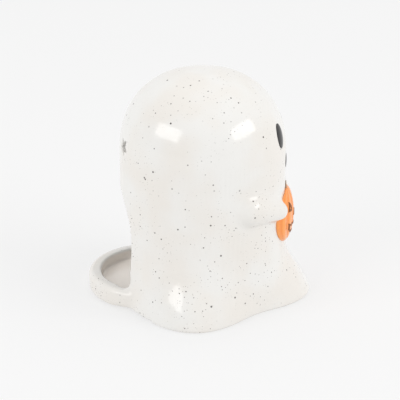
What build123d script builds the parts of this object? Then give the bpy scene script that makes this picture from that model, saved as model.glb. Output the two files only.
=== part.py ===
"""Ceramic ghost tea-light holder: a hollow glazed figure with a tray behind it and a tea light inside.

Units are millimetres. The ghost faces -Y and up is +Z. The origin is at the bottom centre of the overall box.
"""
import math
import os

from build123d import *

# Hollow body: a vertical cylinder under a domed head that is a little squarer than a ball.
BODY_RADIUS = 41.6
OVERALL_HEIGHT = 117.0
WALL = 4.5
HEAD_RISE = 42.0
HEAD_FULLNESS = 2.3
HEAD_POINTS = 8
DOME_CENTRE = OVERALL_HEIGHT - HEAD_RISE

# Folded skirt: a fold in front, one on each side, and a low pair at the back that runs into the tray.
FOLD_TOP = 67.0
FRONT_FOLD = 12.9
SIDE_FOLD = 10.9
SIDE_FOLD_ANGLE = 93.0
FOLD_HALF_ANGLE = 47.0
BACK_FOLD = 3.5
BACK_FOLD_ANGLE = 135.0
BACK_HALF_ANGLE = 30.0
VALLEY_FLARE = 1.4
TOP_STEP = 0.05
HEM_ROUND = 1.6
SECTION_POINTS = 24
# Share of each fold's reach left at each share of FOLD_TOP: front and back kick out low, the sides hang longer.
FOLD_LEVELS = (0.0, 0.052, 0.134, 0.224, 0.3, 0.41, 0.537, 0.657, 0.8, 0.963)
FRONT_SHARE = (1.0, 0.9, 0.68, 0.38, 0.14, 0.03, 0.0, 0.0, 0.0, 0.0)
SIDE_SHARE = (1.0, 0.97, 0.85, 0.58, 0.33, 0.09, 0.01, 0.0, 0.0, 0.0)
BACK_SHARE = (1.0, 0.8, 0.48, 0.24, 0.1, 0.02, 0.0, 0.0, 0.0, 0.0)

# Back arch and star piercings.
ARCH_HALF_WIDTH = 24.5
ARCH_CROWN = 60.0
STAR_RADIUS = 5.4
STAR_WAIST = 2.5
STAR_HEIGHT = 82.0
STAR_ANGLE = 24.0

# Tray: a round dish centred behind the body axis, with the ghost's floor running into it.
TRAY_RADIUS = 32.0
TRAY_OFFSET = 27.0
RECESS_RADIUS = 26.0
RECESS_FORWARD = 0.5
RIM_HEIGHT = 10.0
RIM_ROUND = 2.8
RIM_INNER_ROUND = 1.4
TRAY_FOOT_ROUND = 2.4
FLOOR_TOP = 4.2
FLOOR_UNDER = 1.2
COVE = 1.4
FOOT_RING = 6.0

# Relief pumpkin: a flat-backed ribbed half, swelling from the body.
PUMPKIN_HALF_WIDTH = 18.5
PUMPKIN_HEIGHT = 28.0
PUMPKIN_CENTRE = 43.1
PUMPKIN_STAND_OUT = 4.6
PUMPKIN_TILTS = (-76, -51, -26, 0, 26, 51, 76)
PUMPKIN_RIBS = 7
RIB_POINTS = 6
RIB_DEPTH = 0.16
STEM_RADIUS = 2.8
STEM_TOP_RADIUS = 2.4
STEM_LENGTH = 4.2
STEM_STAND_OUT = 0.8
STEM_SINK = 1.2
STAIN = 0.25
STAIN_LINE = 0.9

# Arms: tapered stubs from the shoulder to a hand on the pumpkin.
SHOULDER_ANGLE = 49.0
SHOULDER_OUT = 36.8
SHOULDER_HEIGHT = 56.0
SHOULDER_RADIUS = 9.5
HAND_ANGLE = 22.0
HAND_OUT = 41.3
HAND_HEIGHT = 50.5
HAND_RADIUS = 5.2

# Face: thick pads of black glaze.
EYE_WIDTH = 7.2
EYE_HEIGHT = 12.4
EYE_ANGLE = 16.5
EYE_CENTRE = 88.0
MOUTH_WIDTH = 6.0
MOUTH_HEIGHT = 7.4
MOUTH_CENTRE = 71.3
PAD = 0.3

# Tea light: the standard 38 mm cup.
CUP_RADIUS = 19.0
CUP_HEIGHT = 15.0
CUP_WALL = 0.4
CUP_ROUND = 1.5
CUP_GAP = 0.3
LIP_WIDTH = 0.5
WAX_GAP_TOP = 3.0
WICK_RADIUS = 0.8
WICK_STAND = 6.0
SUSTAINER_RADIUS = 6.0
SUSTAINER_THICK = 0.4
SUSTAINER_NECK = 1.5
SUSTAINER_NECK_HEIGHT = 3.0
CUP_BACK = 2.0

# The folds reach further back than forward, so the body axis stands a little ahead of the box centre.
FRONT_REACH = BODY_RADIUS + VALLEY_FLARE + TOP_STEP + FRONT_FOLD
BACK_REACH = TRAY_OFFSET + TRAY_RADIUS
TO_BOX_CENTRE = Pos(0, (FRONT_REACH - BACK_REACH) / 2, 0)


def around(angle, out, height):
    """Point at an angle from the front (positive to the ghost's right), a distance out and a height."""
    turn = math.radians(angle)
    return Vector(-out * math.sin(turn), -out * math.cos(turn), height)


def fold(angle, centre, half_angle):
    """Share of a fold at an angle: one at its centre, easing to nothing at its edges."""
    away = abs((angle - centre + 180) % 360 - 180)
    if away >= half_angle:
        return 0.0
    return 0.5 + 0.5 * math.cos(math.pi * away / half_angle)


def skirt_section(height, front, side, back, valley, inset):
    """Flat face of the skirt at one height, taken in by the wall for the hollow."""
    points = []
    for i in range(SECTION_POINTS):
        angle = 360 * i / SECTION_POINTS
        out = BODY_RADIUS + valley + front * fold(angle, 0, FOLD_HALF_ANGLE)
        for turn in (-1, 1):
            out += side * fold(angle, turn * SIDE_FOLD_ANGLE, FOLD_HALF_ANGLE)
            out += back * fold(angle, turn * BACK_FOLD_ANGLE, BACK_HALF_ANGLE)
        points.append(around(angle, out - inset, height))
    return make_face(Spline(*points, periodic=True))


def column_solid(grow):
    """Cylinder with the domed head on it, grown by a coat or taken in by the wall."""
    radius = BODY_RADIUS + grow
    rise = HEAD_RISE + grow
    head = []
    for i in range(HEAD_POINTS + 1):
        turn = math.radians(90 * i / HEAD_POINTS)
        out = radius * abs(math.cos(turn)) ** (2 / HEAD_FULLNESS)
        head.append((out, DOME_CENTRE + rise * math.sin(turn) ** (2 / HEAD_FULLNESS)))
    crown = Spline(*head, tangents=((0, 1), (-1, 0)))
    side = Polyline((0, DOME_CENTRE + rise), (0, 0), (radius, 0), (radius, DOME_CENTRE))
    return revolve(Plane.XZ * make_face([crown, side]), Axis.Z)


def body_solid(inset):
    """Head, cylinder and folded skirt as one solid, taken in by inset."""
    sections = []
    for level, front, side, back in zip(FOLD_LEVELS, FRONT_SHARE, SIDE_SHARE, BACK_SHARE):
        valley = VALLEY_FLARE * (1 - level) ** 3 + TOP_STEP
        reaches = (FRONT_FOLD * front, SIDE_FOLD * side, BACK_FOLD * back)
        sections.append(skirt_section(level * FOLD_TOP, *reaches, valley, inset))
    sections.append(skirt_section(FOLD_TOP, 0, 0, 0, -TOP_STEP, inset))
    return column_solid(-inset) + loft(sections)


def round_lower_edge(solid, radius):
    """Round the outer edges of the face that stands on the ground."""
    ground = solid.edges().filter_by_position(Axis.Z, -0.01, 0.01)
    return fillet(ground, radius)


outer = round_lower_edge(body_solid(0), HEM_ROUND)
cavity = body_solid(WALL)

# Ghost shell: the cast body, hollowed, with the arch cut through the back and a star on each side above it.
arch_spring = ARCH_CROWN - ARCH_HALF_WIDTH
arch_reach = BODY_RADIUS + SIDE_FOLD + BACK_FOLD
arch_block = Pos(0, arch_reach / 2, arch_spring / 2) * Box(2 * ARCH_HALF_WIDTH, arch_reach, arch_spring)
arch_round = Pos(0, arch_reach / 2, arch_spring) * Rot(90, 0, 0) * Cylinder(ARCH_HALF_WIDTH, arch_reach)
arch = arch_block + arch_round
shell = outer - cavity - arch

star_points = []
for i in range(10):
    star_out = STAR_RADIUS if i % 2 == 0 else STAR_WAIST
    star_turn = math.radians(90 + 36 * i)
    star_points.append((star_out * math.cos(star_turn), star_out * math.sin(star_turn)))
star_face = make_face(Polyline(*star_points, close=True))
for side in (-1, 1):
    star_angle = 180 + side * STAR_ANGLE
    star_plane = Plane(around(star_angle, BODY_RADIUS / 2, STAR_HEIGHT), x_dir=around(star_angle + 90, 1, 0),
                       z_dir=around(star_angle, 1, 0))
    shell -= extrude(star_plane * star_face, BODY_RADIUS)

# Base tray: the dish behind the ghost and the floor under it, with a shallow hollow underneath.
dish = Pos(0, TRAY_OFFSET, RIM_HEIGHT / 2) * Cylinder(TRAY_RADIUS, RIM_HEIGHT)
dish = fillet(dish.edges().group_by(Axis.Z)[-1], RIM_ROUND)
dish = fillet(dish.edges().group_by(Axis.Z)[0], TRAY_FOOT_ROUND)
recess_depth = RIM_HEIGHT - FLOOR_TOP
recess_place = Pos(0, TRAY_OFFSET - RECESS_FORWARD, FLOOR_TOP + recess_depth / 2)
recess = recess_place * Cylinder(RECESS_RADIUS, recess_depth)
recess = fillet(recess.edges().group_by(Axis.Z)[0], COVE)
dish -= recess
dish = fillet(dish.edges().group_by(Axis.Z)[-1].sort_by(SortBy.RADIUS)[0], RIM_INNER_ROUND)
under = Pos(0, TRAY_OFFSET, FLOOR_UNDER / 2) * Cylinder(TRAY_RADIUS - FOOT_RING, FLOOR_UNDER)
floor_depth = FLOOR_TOP - FLOOR_UNDER
floor_slab = Pos(0, 0, FLOOR_UNDER + floor_depth / 2) * Box(4 * BODY_RADIUS, 4 * BODY_RADIUS, floor_depth)
inside = cavity + (arch & outer)
tray = (dish - under - outer) + (floor_slab & inside)

# Pumpkin: ribbed half-oval sections stacked from its underside to its crown, cut to sit on the body.
rib_angle = 180 / PUMPKIN_RIBS
rib_steps = RIB_POINTS * (PUMPKIN_RIBS + 1) // 2


def pumpkin_section(tilt, grow):
    """Ribbed outline of the pumpkin at a tilt up or down from its middle, its edges sunk in the body."""
    share = math.cos(math.radians(tilt))
    height = PUMPKIN_CENTRE + PUMPKIN_HEIGHT / 2 * math.sin(math.radians(tilt))
    points = []
    for i in range(-rib_steps, rib_steps + 1):
        turn = i * rib_angle / RIB_POINTS
        groove = (0.5 - 0.5 * math.cos(math.radians(360 * turn / rib_angle))) ** 2
        relief = PUMPKIN_STAND_OUT * share * math.cos(math.radians(turn)) * (1 - RIB_DEPTH * groove)
        across = PUMPKIN_HALF_WIDTH * share * math.sin(math.radians(turn))
        points.append(around(math.degrees(across / BODY_RADIUS), BODY_RADIUS + relief + grow, height))
    return make_face([Spline(*points), Line(points[-1], points[0])])


def pumpkin_solid(grow):
    """Whole pumpkin, grown by a coat's thickness."""
    return loft([pumpkin_section(tilt, grow) for tilt in PUMPKIN_TILTS])


whole_pumpkin = pumpkin_solid(0)
pumpkin = whole_pumpkin - outer
stem_base = PUMPKIN_CENTRE + PUMPKIN_HEIGHT / 2 - STEM_SINK
stem_place = Pos(0, STEM_RADIUS - STEM_STAND_OUT - BODY_RADIUS, stem_base + STEM_LENGTH / 2)
stem = stem_place * Cone(STEM_RADIUS, STEM_TOP_RADIUS, STEM_LENGTH)
stem = stem - outer - whole_pumpkin


def limb(start, start_radius, end, end_radius):
    """Tapered stub with round ends, turned about the line from start to end."""
    length = (end - start).length
    slope = math.asin((start_radius - end_radius) / length)
    start_tangent = (start_radius * math.cos(slope), start_radius * math.sin(slope))
    end_tangent = (end_radius * math.cos(slope), length + end_radius * math.sin(slope))
    half = math.radians(45) - slope / 2
    end_mid = (end_radius * math.cos(slope + half), length + end_radius * math.sin(slope + half))
    back = math.radians(-45) + slope / 2
    start_mid = (start_radius * math.cos(back), start_radius * math.sin(back))
    tail = ThreePointArc((0, -start_radius), start_mid, start_tangent)
    flank = Line(start_tangent, end_tangent)
    tip = ThreePointArc(end_tangent, end_mid, (0, length + end_radius))
    spine = Line((0, length + end_radius), (0, -start_radius))
    turned = revolve(Plane.XZ * make_face([tail, flank, tip, spine]), Axis.Z)
    return Plane(start, z_dir=end - start) * turned


arms = {}
for name, side in (("right_arm", 1), ("left_arm", -1)):
    shoulder = around(side * SHOULDER_ANGLE, SHOULDER_OUT, SHOULDER_HEIGHT)
    hand = around(side * HAND_ANGLE, HAND_OUT, HAND_HEIGHT)
    arms[name] = limb(shoulder, SHOULDER_RADIUS, hand, HAND_RADIUS) - outer - whole_pumpkin


def oval_prism(angle, height, wide, tall):
    """Oval bar pointing out from the body axis, used to cut a pad to its outline."""
    start = around(angle, BODY_RADIUS / 2, height)
    plane = Plane(start, x_dir=around(angle + 90, 1, 0), z_dir=around(angle, 1, 0))
    return extrude(plane * Ellipse(wide / 2, tall / 2), BODY_RADIUS)


# Face pads: black glaze standing a little proud of the head and the cylinder.
face_coat = column_solid(PAD) - column_solid(0)
right_eye = face_coat & oval_prism(EYE_ANGLE, EYE_CENTRE, EYE_WIDTH, EYE_HEIGHT)
left_eye = face_coat & oval_prism(-EYE_ANGLE, EYE_CENTRE, EYE_WIDTH, EYE_HEIGHT)
mouth = face_coat & oval_prism(0, MOUTH_CENTRE, MOUTH_WIDTH, MOUTH_HEIGHT)

# Jack-o'-lantern face: outlines brushed in brown stain on the pumpkin's front.
stain_coat = pumpkin_solid(STAIN) - whole_pumpkin - outer
mark_start = (0, -BODY_RADIUS - 2 * PUMPKIN_STAND_OUT, PUMPKIN_CENTRE)
mark_plane = Plane(mark_start, x_dir=(-1, 0, 0), z_dir=(0, 1, 0))


def brush_mark(outline):
    """Line of the stain coat round a shape drawn on the pumpkin's front."""
    drawn = make_face(outline)
    line = drawn - offset(drawn, -STAIN_LINE)
    mark = stain_coat & extrude(mark_plane * line, PUMPKIN_HALF_WIDTH)
    return mark - arms["right_arm"] - arms["left_arm"]


eye_corners = [(5.2, 3.9), (10.6, 4.3), (8.4, 9.0)]
grin = [
    ThreePointArc((-11.0, -1.6), (0, -4.6), (11.0, -1.6)),
    Line((11.0, -1.6), (10.2, -5.4)),
    ThreePointArc((10.2, -5.4), (0, -9.8), (-10.2, -5.4)),
    Line((-10.2, -5.4), (-11.0, -1.6)),
]
marks = {
    "pumpkin_right_eye": brush_mark(Polyline(*eye_corners, close=True)),
    "pumpkin_left_eye": brush_mark(Polyline(*[(-x, y) for x, y in eye_corners], close=True)),
    "pumpkin_nose": brush_mark(Polyline((-2.0, -0.6), (2.0, -0.6), (0, 2.8), close=True)),
    "pumpkin_mouth": brush_mark(grin),
}

# Tea light: cup, wax, wick and the foot that holds it, standing on the ghost's floor.
cup_base = FLOOR_TOP + CUP_GAP
cup_middle = cup_base + CUP_HEIGHT / 2
cup_place = Pos(0, CUP_BACK, 0)
cup = Pos(0, 0, cup_middle) * Cylinder(CUP_RADIUS - LIP_WIDTH, CUP_HEIGHT)
cup = fillet(cup.edges().group_by(Axis.Z)[0], CUP_ROUND)
hollow_place = Pos(0, 0, cup_middle + CUP_WALL / 2)
hollow = hollow_place * Cylinder(CUP_RADIUS - LIP_WIDTH - CUP_WALL, CUP_HEIGHT - CUP_WALL)
hollow = fillet(hollow.edges().group_by(Axis.Z)[0], CUP_ROUND - CUP_WALL)
lip = Pos(0, 0, cup_base + CUP_HEIGHT - CUP_WALL / 2) * Cylinder(CUP_RADIUS, CUP_WALL)
cup = (cup + lip) - hollow

wax_top = cup_base + CUP_HEIGHT - WAX_GAP_TOP
wax_trim = Pos(0, 0, wax_top + CUP_HEIGHT / 2) * Cylinder(CUP_RADIUS, CUP_HEIGHT)
foot_base = cup_base + CUP_WALL
foot = Pos(0, 0, foot_base + SUSTAINER_THICK / 2) * Cylinder(SUSTAINER_RADIUS, SUSTAINER_THICK)
foot += Pos(0, 0, foot_base + SUSTAINER_NECK_HEIGHT / 2) * Cylinder(SUSTAINER_NECK, SUSTAINER_NECK_HEIGHT)
wick_base = foot_base + SUSTAINER_THICK
wick_length = wax_top + WICK_STAND - wick_base
wick = Pos(0, 0, wick_base + wick_length / 2) * Cylinder(WICK_RADIUS, wick_length)
wick = fillet(wick.edges().group_by(Axis.Z)[-1], WICK_RADIUS / 2)
foot -= wick
wax = hollow - wax_trim - foot - wick

nodes = {
    "ghost_shell": shell,
    "base_tray": tray,
    **arms,
    "pumpkin": pumpkin,
    "pumpkin_stem": stem,
    "right_eye": right_eye,
    "left_eye": left_eye,
    "mouth": mouth,
    **marks,
    "tealight_cup": cup_place * cup,
    "tealight_wax": cup_place * wax,
    "tealight_sustainer": cup_place * foot,
    "tealight_wick": cup_place * wick,
}

os.makedirs("parts", exist_ok=True)
for name, shape in nodes.items():
    export_step(TO_BOX_CENTRE * shape, f"parts/{name}.step")
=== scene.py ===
"""Looks of the ceramic ghost tea-light holder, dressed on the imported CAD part."""
import math

import bmesh
import bpy
import numpy as np
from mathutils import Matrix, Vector
from mathutils.bvhtree import BVHTree


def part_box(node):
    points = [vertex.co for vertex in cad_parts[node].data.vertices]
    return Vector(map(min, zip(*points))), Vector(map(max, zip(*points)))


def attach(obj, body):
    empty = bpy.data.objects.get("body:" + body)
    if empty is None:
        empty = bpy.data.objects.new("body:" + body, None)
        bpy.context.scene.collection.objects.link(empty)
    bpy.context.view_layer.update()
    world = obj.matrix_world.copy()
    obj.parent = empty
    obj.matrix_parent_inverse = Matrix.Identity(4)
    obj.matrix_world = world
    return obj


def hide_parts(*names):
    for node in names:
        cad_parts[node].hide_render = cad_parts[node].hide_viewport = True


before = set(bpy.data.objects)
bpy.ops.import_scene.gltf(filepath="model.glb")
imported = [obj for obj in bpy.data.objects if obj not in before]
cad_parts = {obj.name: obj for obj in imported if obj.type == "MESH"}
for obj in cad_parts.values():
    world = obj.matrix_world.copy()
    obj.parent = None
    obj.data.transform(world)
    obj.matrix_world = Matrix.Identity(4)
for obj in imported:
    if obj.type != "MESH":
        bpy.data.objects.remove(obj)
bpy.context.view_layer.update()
MM = 0.001

# Glazed body: a slip-cast stoneware shell with a pressed tray and arms luted on, dipped once, so that one
# skin of glaze runs over them. Every cut edge is round, and slip fills the joins, so the arms run into the
# body, with a crease left under each. The flat foot was wiped clean of glaze before firing.
BODY_NODES = ("ghost_shell", "base_tray", "right_arm", "left_arm")
SKIN_CELL = 0.55 * MM
WELD_GAP = 0.001 * MM
EDGE_ROUNDS = 5
EDGE_GIVE_BACK = 0.52
SETTLE_PULL = 0.5
JOIN_ROUNDS = 90
ARM_JOIN_REACH = 7.0 * MM
ARM_CREASE = (48 * MM, 55 * MM)
CREASE_SOFTNESS = 0.15
TRAY_JOIN_REACH = 8.0 * MM
TRAY_JOIN_START = 20 * MM


def soft_copy(name, node_names, cell):
    """New object holding the union of some CAD nodes, meshed in even cells so that it can be softened."""
    union = bmesh.new()
    for node_name in node_names:
        union.from_mesh(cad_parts[node_name].data)
    bmesh.ops.remove_doubles(union, verts=union.verts, dist=WELD_GAP)
    mesh = bpy.data.meshes.new(name)
    union.to_mesh(mesh)
    union.free()
    piece = bpy.data.objects.new(name, mesh)
    bpy.context.scene.collection.objects.link(piece)
    remesh = piece.modifiers.new("even cells", "REMESH")
    remesh.mode = "VOXEL"
    remesh.voxel_size = cell
    evaluated = piece.evaluated_get(bpy.context.evaluated_depsgraph_get())
    piece.data = bpy.data.meshes.new_from_object(evaluated)
    piece.modifiers.clear()
    piece.data.name = name
    return piece


def vertex_points(mesh):
    """Vertex places as rows of an array."""
    flat = np.empty(len(mesh.vertices) * 3)
    mesh.vertices.foreach_get("co", flat)
    return flat.reshape(-1, 3)


def move_vertices(mesh, points):
    """Puts each vertex at its row of an array."""
    mesh.vertices.foreach_set("co", points.ravel())
    mesh.update()


def settle(mesh, rounds, give_back, share=1.0):
    """Draws each vertex to the middle of its neighbours, by its share; give_back keeps the volume."""
    points = vertex_points(mesh)
    flat = np.empty(len(mesh.edges) * 2, dtype=int)
    mesh.edges.foreach_get("vertices", flat)
    pairs = flat.reshape(-1, 2)
    near = np.concatenate([pairs[:, 0], pairs[:, 1]])
    far = np.concatenate([pairs[:, 1], pairs[:, 0]])
    count = np.maximum(np.bincount(near, minlength=len(points)), 1)
    for pull in (SETTLE_PULL, -give_back) * rounds:
        for axis in range(3):
            middle = np.bincount(near, points[far, axis], len(points)) / count
            points[:, axis] += pull * share * (middle - points[:, axis])
    move_vertices(mesh, points)


def surface_of(node_name):
    """Search tree of a CAD node's surface."""
    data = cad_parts[node_name].data
    return BVHTree.FromPolygons([v.co for v in data.vertices], [p.vertices for p in data.polygons])


def join_share(mesh, first, second, reach):
    """How near each vertex is to the join of two CAD nodes: one on the join, nothing at reach."""
    points = vertex_points(mesh)
    surfaces = [surface_of(first), surface_of(second)]
    share = np.zeros(len(points))
    low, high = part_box(first)
    inside = np.all((points > np.array(low) - reach) & (points < np.array(high) + reach), axis=1)
    for i in np.nonzero(inside)[0]:
        gaps = [surface.find_nearest(points[i], reach)[3] for surface in surfaces]
        if None not in gaps:
            share[i] = 1 - max(gaps) / reach
    return share * share * (3 - 2 * share)


body = soft_copy("glazed_body", BODY_NODES, SKIN_CELL)
settle(body.data, EDGE_ROUNDS, EDGE_GIVE_BACK)
for arm in ("right_arm", "left_arm"):
    rise = np.interp(vertex_points(body.data)[:, 2], ARM_CREASE, (CREASE_SOFTNESS, 1.0))
    arm_share = join_share(body.data, arm, "ghost_shell", ARM_JOIN_REACH)
    settle(body.data, JOIN_ROUNDS, 0.0, rise * arm_share)
tray_share = join_share(body.data, "base_tray", "ghost_shell", TRAY_JOIN_REACH)
tray_share *= vertex_points(body.data)[:, 1] > TRAY_JOIN_START
settle(body.data, JOIN_ROUNDS, 0.0, tray_share)
body_points = vertex_points(body.data)
body_points[:, 2] = np.maximum(body_points[:, 2], 0.0)
move_vertices(body.data, body_points)
body.data.shade_smooth()
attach(body, "ghost")
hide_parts(*BODY_NODES)

# The body's glaze, fired glossy: off-white, with a slow drift of tone and a slight wave to its skin. Iron in
# the clay burns through as brown-black specks, bold ones all over and finer ones crowded in patches and low
# down. In the tray's recess the glaze pools thick, and its colour there is also painted whiter and warmer:
# painted light, standing in for the light thrown back into that shaded hollow.
WARM_WHITE = "#eae6e0"
COOL_WHITE = "#ecebe8"
POOLED_GLAZE_AND_PAINTED_LIGHT = "#fef7ef"
BARE_CLAY = "#d8c9b4"
DRIFT = 28 * MM
DRIFT_SPAN = (0.35, 0.65)
CROWDS = 18 * MM
CROWD_SPAN = (0.45, 0.6)
CROWD_STRENGTH = (0.12, 1.0)
CROWDED_HEIGHT = (95 * MM, 35 * MM)
HEIGHT_STRENGTH = (0.5, 1.0)
SMALLEST_SPECK = 0.45
SPECK_CORE = 0.6
SPECK_FADE = 0.4
WAVE = 14 * MM
WAVE_DEPTH = 0.5 * MM
WAVE_STRENGTH = 0.35
PEEL = 1.6 * MM
PEEL_DEPTH = 0.05 * MM
PEEL_STRENGTH = 0.08
GLAZE_IOR = 1.52
GLAZE_ROUGHNESS = 0.12
FOOT_ROUGHNESS = 0.8
WIPED_FOOT = (0.05 * MM, 0.25 * MM)
TRAY_MIDDLE = (0, 25.475 * MM, 0)
PAINTED_LIGHT_POOL_EDGE = (25.5 * MM, 27 * MM)
PAINTED_LIGHT_POOL_FLOOR = (2 * MM, 4 * MM)
PAINTED_LIGHT_POOL_TOP = (8 * MM, 10 * MM)
# Each kind of speck: cell, largest radius, share of cells kept, depth, crowded or not, and colour.
SPECKS = (
    (1.2 * MM, 0.26 * MM, 0.6, 0.75, True, "#73685b"),
    (1.7 * MM, 0.4 * MM, 0.75, 1.0, True, "#332b24"),
    (4.0 * MM, 0.6 * MM, 0.7, 0.95, False, "#2b2520"),
)


def linear(code):
    """sRGB hex colour as the linear colour that shaders take."""
    parts = [int(code[i:i + 2], 16) / 255 for i in (1, 3, 5)]
    return [p / 12.92 if p <= 0.04045 else ((p + 0.055) / 1.055) ** 2.4 for p in parts] + [1.0]


def add(tree, kind, inputs=(), **settings):
    """Adds a shader node; an input is a value, a socket, or a node whose first live output is taken."""
    new = tree.nodes.new("ShaderNode" + kind)
    for key, value in settings.items():
        setattr(new, key, value)
    for key, value in inputs.items() if isinstance(inputs, dict) else enumerate(inputs):
        if isinstance(value, bpy.types.Node):
            value = next(socket for socket in value.outputs if socket.enabled)
        if isinstance(value, bpy.types.NodeSocket):
            tree.links.new(value, new.inputs[key])
        else:
            new.inputs[key].default_value = value
    return new


def new_material(name):
    """Empty material with its tree and its object coordinates, in metres."""
    made = bpy.data.materials.new(name)
    made.use_nodes = True
    tree = made.node_tree
    tree.nodes.clear()
    place = add(tree, "TexCoord").outputs["Object"]
    return made, tree, place


def coat(piece, material):
    """Gives a piece one material."""
    piece.data.materials.clear()
    piece.data.materials.append(material)


def iron_specks(tree, place, cell, largest, kept):
    """Mask of round specks, one at most in each cell, of mixed size and strength."""
    cells = add(tree, "TexVoronoi", {"Vector": place, "Scale": 1 / cell})
    chance = add(tree, "SeparateColor", {"Color": cells.outputs["Color"]})
    sizes = (chance.outputs[0], 0.0, 1.0, SMALLEST_SPECK * largest / cell, largest / cell)
    radius = add(tree, "MapRange", sizes, interpolation_type="SMOOTHSTEP")
    inner = add(tree, "Math", (radius, SPECK_CORE), operation="MULTIPLY")
    spread = (cells.outputs["Distance"], inner, radius, 1.0, 0.0)
    dot = add(tree, "MapRange", spread, interpolation_type="SMOOTHSTEP")
    odds = (chance.outputs[1], 1 - kept, 1 - SPECK_FADE * kept, 0.0, 1.0)
    strength = add(tree, "MapRange", odds, interpolation_type="SMOOTHSTEP")
    return add(tree, "Math", (dot, strength), operation="MULTIPLY")


glaze, tree, place = new_material("speckled stoneware glaze, glossy")
drift = add(tree, "TexNoise", {"Vector": place, "Scale": 1 / DRIFT})
cool = add(tree, "MapRange", (drift, *DRIFT_SPAN, 0.0, 1.0), interpolation_type="SMOOTHSTEP")
tone = add(tree, "Mix", {0: cool, 6: linear(WARM_WHITE), 7: linear(COOL_WHITE)}, data_type="RGBA")
height = add(tree, "SeparateXYZ", (place,)).outputs["Z"]
patches = add(tree, "TexNoise", {"Vector": place, "Scale": 1 / CROWDS})
patches = add(tree, "MapRange", (patches, *CROWD_SPAN, *CROWD_STRENGTH), interpolation_type="SMOOTHSTEP")
lower = (height, *CROWDED_HEIGHT, *HEIGHT_STRENGTH)
low_down = add(tree, "MapRange", lower, interpolation_type="SMOOTHSTEP")
crowd = add(tree, "Math", (patches, low_down), operation="MULTIPLY")
for cell, largest, kept, depth, crowded, colour in SPECKS:
    specks = iron_specks(tree, place, cell, largest, kept)
    if crowded:
        specks = add(tree, "Math", (specks, crowd), operation="MULTIPLY")
    specks = add(tree, "Math", (specks, depth), operation="MULTIPLY")
    tone = add(tree, "Mix", {0: specks, 6: tone, 7: linear(colour)}, data_type="RGBA")
wiped = add(tree, "MapRange", (height, *WIPED_FOOT, 1.0, 0.0), interpolation_type="SMOOTHSTEP")
tone = add(tree, "Mix", {0: wiped, 6: tone, 7: linear(BARE_CLAY)}, data_type="RGBA")
rough = (wiped, 0.0, 1.0, GLAZE_ROUGHNESS, FOOT_ROUGHNESS)
gloss = add(tree, "MapRange", rough, interpolation_type="SMOOTHSTEP")
# Pooled glaze and painted light in the tray's recess: whiter and warmer there, to brighten its shade.
from_tray = add(tree, "VectorMath", (place, TRAY_MIDDLE), operation="SUBTRACT")
level = add(tree, "VectorMath", (from_tray, (1, 1, 0)), operation="MULTIPLY")
reach = add(tree, "VectorMath", (level,), operation="LENGTH")
pool_and_painted_light = add(tree, "MapRange", (reach, *PAINTED_LIGHT_POOL_EDGE, 1.0, 0.0), interpolation_type="SMOOTHSTEP")
for limits in ((*PAINTED_LIGHT_POOL_FLOOR, 0.0, 1.0), (*PAINTED_LIGHT_POOL_TOP, 1.0, 0.0)):
    within = add(tree, "MapRange", (height, *limits), interpolation_type="SMOOTHSTEP")
    pool_and_painted_light = add(tree, "Math", (pool_and_painted_light, within), operation="MULTIPLY")
tone = add(tree, "Mix", {0: pool_and_painted_light, 6: tone, 7: linear(POOLED_GLAZE_AND_PAINTED_LIGHT)}, data_type="RGBA")
wave = add(tree, "TexNoise", {"Vector": place, "Scale": 1 / WAVE, "Detail": 1.0})
peel = add(tree, "TexNoise", {"Vector": place, "Scale": 1 / PEEL, "Detail": 1.0})
swell = add(tree, "Bump", {"Height": wave, "Strength": WAVE_STRENGTH, "Distance": WAVE_DEPTH})
dimpled = {"Height": peel, "Strength": PEEL_STRENGTH, "Distance": PEEL_DEPTH, "Normal": swell}
skin = add(tree, "Bump", dimpled)
glossy = {"Base Color": tone, "Roughness": gloss, "IOR": GLAZE_IOR, "Normal": skin}
surface = add(tree, "BsdfPrincipled", glossy)
add(tree, "OutputMaterial", {"Surface": surface})
coat(body, glaze)

# Pumpkin: a press-moulded clay sprig, luted to the ghost's front between its hands. It is brushed with a
# glossy, translucent orange glaze, which thins to a lighter tone on the ribs and pools in the grooves. Its
# seven ribs gather to the stalk at the crown, as lines of longitude do.
PUMPKIN_CELL = 0.3 * MM
PUMPKIN_ROUNDS = 4
PUMPKIN_GIVE_BACK = 0.5
PUMPKIN_RIBS = 7
PUMPKIN_HALF_WIDTH = 18.5 * MM
BODY_RADIUS = 41.6 * MM
BODY_AXIS_Y = -1.525 * MM
POLE_MARGIN = 1.03
RIB_ORANGE = "#fea456"
GROOVE_ORANGE = "#f8964a"
GROOVE_SPAN = (0.6, -1.0)
BRUSH_STREAKS = 3 * MM
STREAK_SHARE = 0.5
POOL_SPAN = (0.1, 1.1)
ORANGE_ROUGHNESS = 0.08
pumpkin = soft_copy("orange_pumpkin", ("pumpkin",), PUMPKIN_CELL)
settle(pumpkin.data, PUMPKIN_ROUNDS, PUMPKIN_GIVE_BACK)
pumpkin.data.shade_smooth()
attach(pumpkin, "ghost")
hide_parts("pumpkin")
pumpkin_low, pumpkin_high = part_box("pumpkin")
pumpkin_middle = (pumpkin_low[2] + pumpkin_high[2]) / 2
pole = POLE_MARGIN * (pumpkin_high[2] - pumpkin_low[2]) / 2
orange, tree, place = new_material("brushed orange glaze, glossy")
spot = add(tree, "SeparateXYZ", (place,))
ahead = add(tree, "Math", (BODY_AXIS_Y, spot.outputs["Y"]), operation="SUBTRACT")
turn = add(tree, "Math", (spot.outputs["X"], ahead), operation="ARCTAN2")
across = add(tree, "Math", (turn, BODY_RADIUS / PUMPKIN_HALF_WIDTH), operation="MULTIPLY")
above = add(tree, "Math", (spot.outputs["Z"], pumpkin_middle), operation="SUBTRACT")
level = add(tree, "Math", (above, pole), operation="DIVIDE")
squared = add(tree, "Math", (level, level), operation="MULTIPLY")
rest = add(tree, "Math", (1.0, squared), operation="SUBTRACT")
share = add(tree, "Math", (rest,), operation="SQRT")
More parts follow.
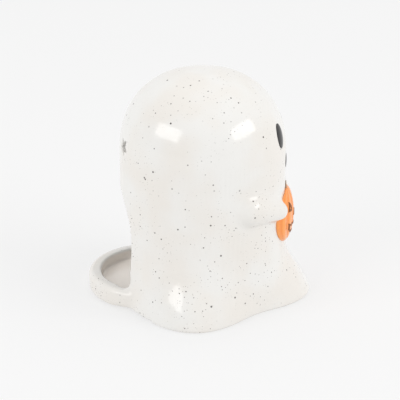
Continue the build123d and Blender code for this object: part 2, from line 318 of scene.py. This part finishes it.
slant = add(tree, "Math", (across, share), operation="DIVIDE")
longitude = add(tree, "Math", (slant,), operation="ARCSINE")
phase = add(tree, "Math", (longitude, 2 * PUMPKIN_RIBS), operation="MULTIPLY")
rib = add(tree, "Math", (phase,), operation="COSINE")
groove = add(tree, "MapRange", (rib, *GROOVE_SPAN, 0.0, 1.0), interpolation_type="SMOOTHSTEP")
streaks = add(tree, "TexNoise", {"Vector": place, "Scale": 1 / BRUSH_STREAKS, "Detail": 4.0})
streaks = add(tree, "Math", (streaks, STREAK_SHARE), operation="MULTIPLY")
pooled = add(tree, "Math", (groove, streaks), operation="ADD")
pooled = add(tree, "MapRange", (pooled, *POOL_SPAN, 0.0, 1.0), interpolation_type="SMOOTHSTEP")
tone = add(tree, "Mix", {0: pooled, 6: linear(RIB_ORANGE), 7: linear(GROOVE_ORANGE)}, data_type="RGBA")
surface = add(tree, "BsdfPrincipled", {"Base Color": tone, "Roughness": ORANGE_ROUGHNESS, "IOR": GLAZE_IOR})
add(tree, "OutputMaterial", {"Surface": surface})
coat(pumpkin, orange)

# Stalk: a pinch of clay pressed on the pumpkin's crown.
# A brown oxide wash under clear glaze leaves it glossy and mottled from light to dark.
DARK_WASH = "#6e4f2f"
LIGHT_WASH = "#9b7a4c"
WASH_MOTTLE = 2 * MM
WASH_ROUGHNESS = 0.15
stalk, tree, place = new_material("brown oxide wash, glossy")
mottle = add(tree, "TexNoise", {"Vector": place, "Scale": 1 / WASH_MOTTLE, "Detail": 3.0})
tone = add(tree, "Mix", {0: mottle, 6: linear(DARK_WASH), 7: linear(LIGHT_WASH)}, data_type="RGBA")
surface = add(tree, "BsdfPrincipled", {"Base Color": tone, "Roughness": WASH_ROUGHNESS})
add(tree, "OutputMaterial", {"Surface": surface})
coat(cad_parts["pumpkin_stem"], stalk)

# Pumpkin's face: outlines drawn with a brush in brown ceramic stain over the orange.
# The stain fires almost matt, and is denser where the brush slowed.
DENSE_STAIN = "#74401a"
THIN_STAIN = "#a3622f"
BRUSH_LOAD = 1.2 * MM
STAIN_ROUGHNESS = 0.4
STAIN_SHINE = 0.25
stain, tree, place = new_material("brown ceramic stain, brushed")
load = add(tree, "TexNoise", {"Vector": place, "Scale": 1 / BRUSH_LOAD, "Detail": 3.0})
tone = add(tree, "Mix", {0: load, 6: linear(DENSE_STAIN), 7: linear(THIN_STAIN)}, data_type="RGBA")
dull = {"Base Color": tone, "Roughness": STAIN_ROUGHNESS, "Specular IOR Level": STAIN_SHINE}
surface = add(tree, "BsdfPrincipled", dull)
add(tree, "OutputMaterial", {"Surface": surface})
for mark in ("pumpkin_right_eye", "pumpkin_left_eye", "pumpkin_nose", "pumpkin_mouth"):
    coat(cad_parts[mark], stain)

# Ghost's face: two eyes and a mouth, each a drop of thick black glaze trailed on before firing.
# The glaze drew itself up in the kiln, so each drop is crowned, with a thin round edge and a mirror gloss.
PAD_CELL = 0.12 * MM
PAD_ROUNDS = 6
PAD_GIVE_BACK = 0.45
PAD_THICK = 0.3 * MM
PAD_EDGE = 0.12 * MM
PAD_CROWN = 0.28 * MM
DEEP_BLACK = "#151414"
SOFT_BLACK = "#211f1e"
BLACK_CLOUDS = 2 * MM
BLACK_ROUGHNESS = 0.06
BLACK_IOR = 1.46
black, tree, place = new_material("black glaze, glossy")
clouds = add(tree, "TexNoise", {"Vector": place, "Scale": 1 / BLACK_CLOUDS})
tone = add(tree, "Mix", {0: clouds, 6: linear(DEEP_BLACK), 7: linear(SOFT_BLACK)}, data_type="RGBA")
surface = add(tree, "BsdfPrincipled", {"Base Color": tone, "Roughness": BLACK_ROUGHNESS, "IOR": BLACK_IOR})
add(tree, "OutputMaterial", {"Surface": surface})
shell_surface = surface_of("ghost_shell")
for node_name in ("right_eye", "left_eye", "mouth"):
    pad = soft_copy("glaze_" + node_name, (node_name,), PAD_CELL)
    settle(pad.data, PAD_ROUNDS, PAD_GIVE_BACK)
    points = vertex_points(pad.data)
    proud = np.array([min(1, shell_surface.find_nearest(point)[3] / PAD_THICK) for point in points])
    turns = np.arctan2(points[:, 0], BODY_AXIS_Y - points[:, 1])
    off_centre = np.zeros(len(points))
    for measure in (turns, points[:, 2]):
        least, most = measure.min(), measure.max()
        off_centre += ((2 * measure - most - least) / (most - least)) ** 2
    lift = proud * (PAD_EDGE + PAD_CROWN * (1 - np.minimum(off_centre, 1)) - PAD_THICK)
    points[:, 0] += lift * np.sin(turns)
    points[:, 1] -= lift * np.cos(turns)
    move_vertices(pad.data, points)
    pad.data.shade_smooth()
    coat(pad, black)
    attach(pad, "ghost")
    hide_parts(node_name)

# Tea light's cup: a disc of aluminium foil drawn up in a die, so its wall is pleated between base and lip.
# It stands loose on the ghost's floor. The foil is bright, with an upright haze from the die, drawn coarser
# than a real one so that it shows.
CUP_WALL = 0.4 * MM
CUP_ROUND = 1.5 * MM
CUP_LIP = 0.5 * MM
LIP_ROUND = 0.1 * MM
CUP_MIDDLE = 6 * MM
CORNER_STEPS = 6
WALL_STEPS = 12
PLEATS = 64
PLEAT_POINTS = 5
PLEAT_DEPTH = 0.1 * MM
PLEAT_FADE = 2.0 * MM
ALUMINIUM = "#dadbdc"
DIE_HAZE = 0.6 * MM
HAZE_STRETCH = (1, 1, 0.08)
HAZE_SPAN = (0.3, 0.7)
FOIL_ROUGHNESS = (0.2, 0.36)
cup_low, cup_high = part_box("tealight_cup")
cup_x = (cup_low[0] + cup_high[0]) / 2
cup_y = (cup_low[1] + cup_high[1]) / 2
cup_base, cup_top = cup_low[2], cup_high[2]
cup_reach = (cup_high[0] - cup_low[0]) / 2
wall_out = cup_reach - CUP_LIP
wall_in = wall_out - CUP_WALL
lip_low = cup_top - CUP_WALL
wall_rise = lip_low - cup_base - CUP_ROUND


def cup_corner(reach, floor, radius):
    """Quarter-round from the cup's bottom to its wall."""
    turns = [math.pi / 2 * i / CORNER_STEPS for i in range(CORNER_STEPS + 1)]
    return [(reach - radius * (1 - math.sin(t)), floor + radius * (1 - math.cos(t))) for t in turns]


def new_piece(name, points, faces):
    """New object with a mesh of these points and faces."""
    mesh = bpy.data.meshes.new(name)
    mesh.from_pydata(points, [], faces)
    piece = bpy.data.objects.new(name, mesh)
    bpy.context.scene.collection.objects.link(piece)
    return piece


wall_heights = [cup_base + CUP_ROUND + wall_rise * i / WALL_STEPS for i in range(1, WALL_STEPS + 1)]
profile = [
    (CUP_MIDDLE, cup_base),
    *cup_corner(wall_out, cup_base, CUP_ROUND),
    *[(wall_out, z) for z in wall_heights],
    (cup_reach, lip_low + LIP_ROUND),
    (cup_reach, cup_top - LIP_ROUND),
    (cup_reach - LIP_ROUND, cup_top),
    (wall_in + LIP_ROUND, cup_top),
    *[(wall_in, z) for z in reversed(wall_heights)],
    *reversed(cup_corner(wall_in, cup_base + CUP_WALL, CUP_ROUND - CUP_WALL)),
    (CUP_MIDDLE, cup_base + CUP_WALL),
]
around = PLEATS * PLEAT_POINTS
cup_points = []
for reach, z in profile:
    above_base = min(1, max(0, (z - cup_base) / PLEAT_FADE))
    below_lip = min(1, max(0, (lip_low - z) / PLEAT_FADE))
    for i in range(around):
        angle = 2 * math.pi * i / around
        out = reach - PLEAT_DEPTH * above_base * below_lip * (0.5 - 0.5 * math.cos(PLEATS * angle))
        cup_points.append((cup_x + out * math.cos(angle), cup_y + out * math.sin(angle), z))
cup_faces = []
for row in range(len(profile) - 1):
    here = row * around
    above = here + around
    for i in range(around):
        after = (i + 1) % around
        cup_faces.append((here + i, here + after, above + after, above + i))
under_middle = len(cup_points)
cup_points += [(cup_x, cup_y, cup_base), (cup_x, cup_y, cup_base + CUP_WALL)]
last = (len(profile) - 1) * around
for i in range(around):
    after = (i + 1) % around
    cup_faces.append((under_middle, after, i))
    cup_faces.append((under_middle + 1, last + i, last + after))
cup = new_piece("foil_cup", cup_points, cup_faces)
cup.data.shade_smooth()
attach(cup, "tealight")
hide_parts("tealight_cup")
foil, tree, place = new_material("drawn aluminium foil")
upright = add(tree, "Mapping", {"Vector": place, "Scale": HAZE_STRETCH})
haze = add(tree, "TexNoise", {"Vector": upright, "Scale": 1 / DIE_HAZE, "Detail": 3.0})
gloss = add(tree, "MapRange", (haze, *HAZE_SPAN, *FOIL_ROUGHNESS), interpolation_type="SMOOTHSTEP")
bright = {"Base Color": linear(ALUMINIUM), "Metallic": 1.0, "Roughness": gloss}
surface = add(tree, "BsdfPrincipled", bright)
add(tree, "OutputMaterial", {"Surface": surface})
coat(cup, foil)

# Wax: white paraffin, poured into the cup. It climbs the wall and the wick a little as it sets.
# It is slightly translucent, with a satin skin that dimples as it shrinks.
WAX_CELL = 0.3 * MM
WAX_ROUNDS = 3
WAX_GIVE_BACK = 0.5
CLIMB = 0.8 * MM
CLIMB_WIDTH = 1.1 * MM
WICK_CLIMB = 0.6
CLIMB_DEPTH = 2 * MM
WICK_RADIUS = 0.8 * MM
CREAM_WAX = "#efece3"
WHITE_WAX = "#f4f2ec"
WAX_CLOUDS = 6 * MM
WAX_DIMPLES = 3 * MM
DIMPLE_DEPTH = 0.2 * MM
DIMPLE_STRENGTH = 0.2
WAX_ROUGHNESS = 0.38
WAX_GLOW = 0.3
WAX_GLOW_DEPTH = 2 * MM
disc = soft_copy("wax_disc", ("tealight_wax",), WAX_CELL)
settle(disc.data, WAX_ROUNDS, WAX_GIVE_BACK)
points = vertex_points(disc.data)
from_middle = np.hypot(points[:, 0] - cup_x, points[:, 1] - cup_y)
at_wall = np.exp((from_middle - wall_in) / CLIMB_WIDTH)
at_wick = np.exp((WICK_RADIUS - from_middle) / CLIMB_WIDTH)
wax_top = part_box("tealight_wax")[1][2]
near_top = np.clip((points[:, 2] - wax_top) / CLIMB_DEPTH + 1, 0, 1)
points[:, 2] += CLIMB * np.minimum(at_wall + WICK_CLIMB * at_wick, 1) * near_top
move_vertices(disc.data, points)
disc.data.shade_smooth()
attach(disc, "tealight")
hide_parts("tealight_wax")
wax, tree, place = new_material("paraffin wax, satin")
clouds = add(tree, "TexNoise", {"Vector": place, "Scale": 1 / WAX_CLOUDS})
tone = add(tree, "Mix", {0: clouds, 6: linear(CREAM_WAX), 7: linear(WHITE_WAX)}, data_type="RGBA")
dents = add(tree, "TexNoise", {"Vector": place, "Scale": 1 / WAX_DIMPLES})
skin = add(tree, "Bump", {"Height": dents, "Strength": DIMPLE_STRENGTH, "Distance": DIMPLE_DEPTH})
satin = {"Base Color": tone, "Roughness": WAX_ROUGHNESS, "Normal": skin}
depth = {"Subsurface Weight": WAX_GLOW, "Subsurface Scale": WAX_GLOW_DEPTH}
surface = add(tree, "BsdfPrincipled", {**satin, **depth})
add(tree, "OutputMaterial", {"Surface": surface})
coat(disc, wax)

# Wick: braided cotton, waxed, standing in the foot. It is pale and matt.
# The braid is drawn coarser than a real one, so that it shows.
STRAND_SHADE = "#d8d2c4"
STRAND_LIGHT = "#f0ece0"
BRAID = 6 * MM
COTTON_ROUGHNESS = 0.85
cotton, tree, place = new_material("braided cotton wick")
braid = add(tree, "TexWave", {"Vector": place, "Scale": 1 / BRAID}, bands_direction="DIAGONAL")
strands = braid.outputs["Fac"]
tone = add(tree, "Mix", {0: strands, 6: linear(STRAND_SHADE), 7: linear(STRAND_LIGHT)}, data_type="RGBA")
surface = add(tree, "BsdfPrincipled", {"Base Color": tone, "Roughness": COTTON_ROUGHNESS})
add(tree, "OutputMaterial", {"Surface": surface})
coat(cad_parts["tealight_wick"], cotton)

# Wick foot: a stamped disc of tinned steel, held in the wax, with a neck that grips the wick.
# Tinplate is grey and half bright, with a slight cloud in its gloss.
TINPLATE = "#b9babc"
TIN_CLOUDS = 1 * MM
CLOUD_SPAN = (0.3, 0.7)
TIN_ROUGHNESS = (0.3, 0.45)
steel, tree, place = new_material("tinned steel, stamped")
clouds = add(tree, "TexNoise", {"Vector": place, "Scale": 1 / TIN_CLOUDS})
gloss = add(tree, "MapRange", (clouds, *CLOUD_SPAN, *TIN_ROUGHNESS), interpolation_type="SMOOTHSTEP")
half_bright = {"Base Color": linear(TINPLATE), "Metallic": 1.0, "Roughness": gloss}
surface = add(tree, "BsdfPrincipled", half_bright)
add(tree, "OutputMaterial", {"Surface": surface})
coat(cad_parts["tealight_sustainer"], steel)

# Table: a sheet of opal acrylic, lit from below, which keeps the shadows faint.
# It is matt and even, with no gloss to mirror the ghost.
TABLE_REACH = 4.0
WHITE = "#ffffff"
OPAL_SHADE = "#a9a9a9"
OPAL_LIGHT = "#ababab"
TABLE_CLOUDS = 400 * MM
TABLE_ROUGHNESS = 0.9
TABLE_GLOW = 0.5
corners = [(-1, -1), (1, -1), (1, 1), (-1, 1)]
table = new_piece("floor", [(TABLE_REACH * x, TABLE_REACH * y, 0) for x, y in corners], [(0, 1, 2, 3)])
acrylic, tree, place = new_material("opal acrylic table, lit from below")
clouds = add(tree, "TexNoise", {"Vector": place, "Scale": 1 / TABLE_CLOUDS})
tone = add(tree, "Mix", {0: clouds, 6: linear(OPAL_SHADE), 7: linear(OPAL_LIGHT)}, data_type="RGBA")
matt = {"Base Color": tone, "Roughness": TABLE_ROUGHNESS, "Specular IOR Level": 0.0}
lit = {"Emission Color": linear(WHITE), "Emission Strength": TABLE_GLOW}
surface = add(tree, "BsdfPrincipled", {**matt, **lit})
add(tree, "OutputMaterial", {"Surface": surface})
coat(table, acrylic)

# Studio: a white tent, dimmer on the camera's side and brighter overhead, with a wide softbox on each side.
# The camera looks at the ghost's right side from a little above, through a long lens.
CAMERA_AZIMUTH = math.radians(-85.5)
CAMERA_ELEVATION = math.radians(21.5)
CAMERA_DISTANCE = 700 * MM
TARGET = Vector((0, -1.5 * MM, 60 * MM))
FOCAL_LENGTH = 125
SENSOR_WIDTH = 36
LENS_SHIFT = (-0.0068, -0.0535)
TENT_SIDES = (0.9, 0.62)
TENT_SIDES_SPAN = (-0.5, 0.9)
TENT_DIM_SIDE = math.radians(-20)
TENT_TOP = 0.2
TENT_TOP_SPAN = (0.3, 1.0)
SOFTBOX_DISTANCE = 2.0
# Each softbox: degrees round from the camera, degrees up, width and height in metres, and glow.
SOFTBOXES = {
    "left softbox": (-54, 26.5, 1.35, 0.62, 3.4),
    "right softbox": (65, 26.5, 1.35, 0.62, 3.4),
}


def direction(azimuth, elevation):
    """Unit vector toward a compass angle (0 in front of the ghost) and a height angle."""
    flat = math.cos(elevation)
    return Vector((flat * math.sin(azimuth), -flat * math.cos(azimuth), math.sin(elevation)))


world = bpy.data.worlds.new("white tent")
world.use_nodes = True
tree = world.node_tree
background = tree.nodes["Background"]
background.inputs["Color"].default_value = linear(WHITE)
aspect = add(tree, "TexCoord").outputs["Generated"]
dim_side = direction(CAMERA_AZIMUTH + TENT_DIM_SIDE, 0.0)
lean = add(tree, "VectorMath", (aspect, dim_side), operation="DOT_PRODUCT")
sides = add(tree, "MapRange", (lean, *TENT_SIDES_SPAN, *TENT_SIDES), interpolation_type="SMOOTHSTEP")
up = add(tree, "SeparateXYZ", (aspect,)).outputs["Z"]
top = add(tree, "MapRange", (up, *TENT_TOP_SPAN, 0.0, TENT_TOP), interpolation_type="SMOOTHSTEP")
glow = add(tree, "Math", (sides, top), operation="ADD")
tree.links.new(glow.outputs[0], background.inputs["Strength"])
bpy.context.scene.world = world

for name, (swing, rise, width, tall, glow) in SOFTBOXES.items():
    lamp = bpy.data.lights.new(name, "AREA")
    lamp.shape = "RECTANGLE"
    lamp.size = width
    lamp.size_y = tall
    lamp.energy = glow * math.pi * width * tall
    softbox = bpy.data.objects.new(name, lamp)
    aim = direction(CAMERA_AZIMUTH + math.radians(swing), math.radians(rise))
    softbox.location = TARGET + SOFTBOX_DISTANCE * aim
    softbox.rotation_euler = aim.to_track_quat("Z", "Y").to_euler()
    bpy.context.scene.collection.objects.link(softbox)

lens = bpy.data.cameras.new("camera")
lens.lens = FOCAL_LENGTH
lens.sensor_width = SENSOR_WIDTH
lens.shift_x, lens.shift_y = LENS_SHIFT
camera = bpy.data.objects.new("camera", lens)
aim = direction(CAMERA_AZIMUTH, CAMERA_ELEVATION)
camera.location = TARGET + CAMERA_DISTANCE * aim
camera.rotation_euler = aim.to_track_quat("Z", "Y").to_euler()
bpy.context.scene.collection.objects.link(camera)
bpy.context.scene.camera = camera
bpy.context.scene.view_settings.view_transform = "Standard"
